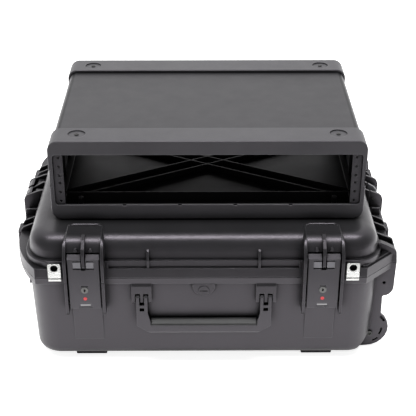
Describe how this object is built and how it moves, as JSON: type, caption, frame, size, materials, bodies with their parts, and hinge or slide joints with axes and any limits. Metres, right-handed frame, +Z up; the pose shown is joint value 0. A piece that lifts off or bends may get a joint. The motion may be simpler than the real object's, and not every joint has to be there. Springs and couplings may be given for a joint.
{
  "type": "equipment rack case",
  "caption": "Wheeled moulded transit case with latched hinged lid, drop handles and pull handle, and a low open-front equipment rack shell resting on the lid.",
  "frame": {"origin": "on the floor under the middle of the object's overall width and depth", "axes": "+X to the wheeled end, -Y to the latched front, +Z up"},
  "size_m": [0.623, 0.493, 0.371],
  "materials": {
    "case_plastic": "satin moulded",
    "latch_plastic": "satin moulded",
    "trigger_plastic": "satin moulded",
    "rack_plastic": "fine-textured moulded",
    "rail_steel": "black powder coat",
    "bright_steel": "brushed",
    "pin_steel": "dull",
    "lock_metal": "black",
    "red_marker": "gloss",
    "soft_grip": "matte",
    "tyre": "matte",
    "tube_aluminium": "dark anodised",
    "foam": "open-cell foam"
  },
  "bodies": {
    "base": {"base_shell": "case_plastic", "base_foam": "foam", "hinge_pins": "pin_steel", "hasps_base": "bright_steel", "valve_body": "case_plastic", "valve_cap": "case_plastic", "latch_pivot_pins": "pin_steel", "front_handle_pins": "pin_steel", "side_handle_pins": "pin_steel", "wheel_axles": "pin_steel", "pull_tubes_fixed": "tube_aluminium", "pull_tube_collars": "latch_plastic"},
    "lid": {"lid_shell": "case_plastic", "lid_gasket": "soft_grip", "lid_foam": "foam", "hasps_lid": "bright_steel", "strike_pins": "pin_steel"},
    "latch_left": {"latch_left": "latch_plastic", "trigger_pin_left": "pin_steel", "trigger_spring_left": "pin_steel", "lock_dot_left": "red_marker"},
    "latch_right": {"latch_right": "latch_plastic", "trigger_pin_right": "pin_steel", "trigger_spring_right": "pin_steel", "lock_dot_right": "red_marker"},
    "latch_side": {"latch_side": "latch_plastic", "trigger_pin_side": "pin_steel", "trigger_spring_side": "pin_steel"},
    "trigger_left": {"trigger_left": "trigger_plastic"},
    "trigger_right": {"trigger_right": "trigger_plastic"},
    "trigger_side": {"trigger_side": "trigger_plastic"},
    "lock_left": {"lock_cylinder_left": "lock_metal"},
    "lock_right": {"lock_cylinder_right": "lock_metal"},
    "front_handle": {"front_handle": "latch_plastic", "front_handle_grip": "soft_grip"},
    "side_handle": {"side_handle": "latch_plastic", "side_handle_grip": "soft_grip"},
    "wheel_front": {"wheel_hub_front": "case_plastic", "wheel_tyre_front": "tyre", "wheel_bearings_front": "bright_steel"},
    "wheel_rear": {"wheel_hub_rear": "case_plastic", "wheel_tyre_rear": "tyre", "wheel_bearings_rear": "bright_steel"},
    "pull_outer": {"pull_tubes_outer": "tube_aluminium"},
    "pull_middle": {"pull_tubes_middle": "tube_aluminium"},
    "pull_top": {"pull_tubes_inner": "tube_aluminium", "pull_grip": "latch_plastic", "pull_grip_pins": "pin_steel", "pull_button_springs": "pin_steel"},
    "pull_button": {"pull_button": "trigger_plastic"},
    "rack": {"rack_shell": "rack_plastic", "rack_front_frame": "rack_plastic", "rack_rear_frame": "rack_plastic", "rack_rail_front_left": "rail_steel", "rack_rail_front_right": "rail_steel", "rack_rail_rear_left": "rail_steel", "rack_rail_rear_right": "rail_steel", "rail_screws": "pin_steel", "rack_feet": "soft_grip", "foot_screws": "pin_steel"}
  },
  "joints": [
    {"name": "lid_hinge", "type": "hinge", "parent": "base", "child": "lid", "pos_m": [0, 0.2405, 0.166], "axis": [-1, 0, 0], "range_deg": [0, 100]},
    {"name": "latch_left_swing", "type": "hinge", "parent": "base", "child": "latch_left", "pos_m": [-0.187, -0.2375, 0.125], "axis": [1, 0, 0], "range_deg": [0, 130]},
    {"name": "trigger_left_pull", "type": "hinge", "parent": "latch_left", "child": "trigger_left", "pos_m": [-0.187, -0.237, 0.183], "axis": [1, 0, 0], "range_deg": [0, 12], "stiffness_Nm_per_rad": 0.04, "springref_deg": -5},
    {"name": "lock_left_turn", "type": "hinge", "parent": "latch_left", "child": "lock_left", "pos_m": [-0.187, -0.244, 0.1515], "axis": [0, -1, 0], "range_deg": [0, 90]},
    {"name": "latch_right_swing", "type": "hinge", "parent": "base", "child": "latch_right", "pos_m": [0.187, -0.2375, 0.125], "axis": [1, 0, 0], "range_deg": [0, 130]},
    {"name": "trigger_right_pull", "type": "hinge", "parent": "latch_right", "child": "trigger_right", "pos_m": [0.187, -0.237, 0.183], "axis": [1, 0, 0], "range_deg": [0, 12], "stiffness_Nm_per_rad": 0.04, "springref_deg": -5},
    {"name": "lock_right_turn", "type": "hinge", "parent": "latch_right", "child": "lock_right", "pos_m": [0.187, -0.244, 0.1515], "axis": [0, -1, 0], "range_deg": [0, 90]},
    {"name": "latch_side_swing", "type": "hinge", "parent": "base", "child": "latch_side", "pos_m": [-0.301, 0, 0.125], "axis": [0, -1, 0], "range_deg": [0, 130]},
    {"name": "trigger_side_pull", "type": "hinge", "parent": "latch_side", "child": "trigger_side", "pos_m": [-0.3005, 0, 0.183], "axis": [0, -1, 0], "range_deg": [0, 12], "stiffness_Nm_per_rad": 0.04, "springref_deg": -5},
    {"name": "front_handle_swing", "type": "hinge", "parent": "base", "child": "front_handle", "pos_m": [0, -0.2286, 0.1286], "axis": [-1, 0, 0], "range_deg": [0, 95]},
    {"name": "side_handle_swing", "type": "hinge", "parent": "base", "child": "side_handle", "pos_m": [-0.2916, 0, 0.1286], "axis": [0, 1, 0], "range_deg": [0, 95]},
    {"name": "wheel_front_spin", "type": "hinge", "parent": "base", "child": "wheel_front", "pos_m": [0.277, -0.164, 0.028], "axis": [0, 1, 0], "continuous": true},
    {"name": "wheel_rear_spin", "type": "hinge", "parent": "base", "child": "wheel_rear", "pos_m": [0.277, 0.164, 0.028], "axis": [0, 1, 0], "continuous": true},
    {"name": "pull_outer_slide", "type": "slide", "parent": "base", "child": "pull_outer", "axis": [0, 0, 1], "range_m": [0, 0.11]},
    {"name": "pull_middle_slide", "type": "slide", "parent": "pull_outer", "child": "pull_middle", "axis": [0, 0, 1], "range_m": [0, 0.11]},
    {"name": "pull_top_slide", "type": "slide", "parent": "pull_middle", "child": "pull_top", "axis": [0, 0, 1], "range_m": [0, 0.11]},
    {"name": "pull_button_press", "type": "slide", "parent": "pull_top", "child": "pull_button", "axis": [0, 0, -1], "range_m": [0, 0.002], "stiffness_N_per_m": 900, "springref_m": -0.002},
    {"name": "rack_lift", "type": "slide", "parent": "lid", "child": "rack", "axis": [0, 0, 1], "range_m": [0, 0.3]}
  ]
}
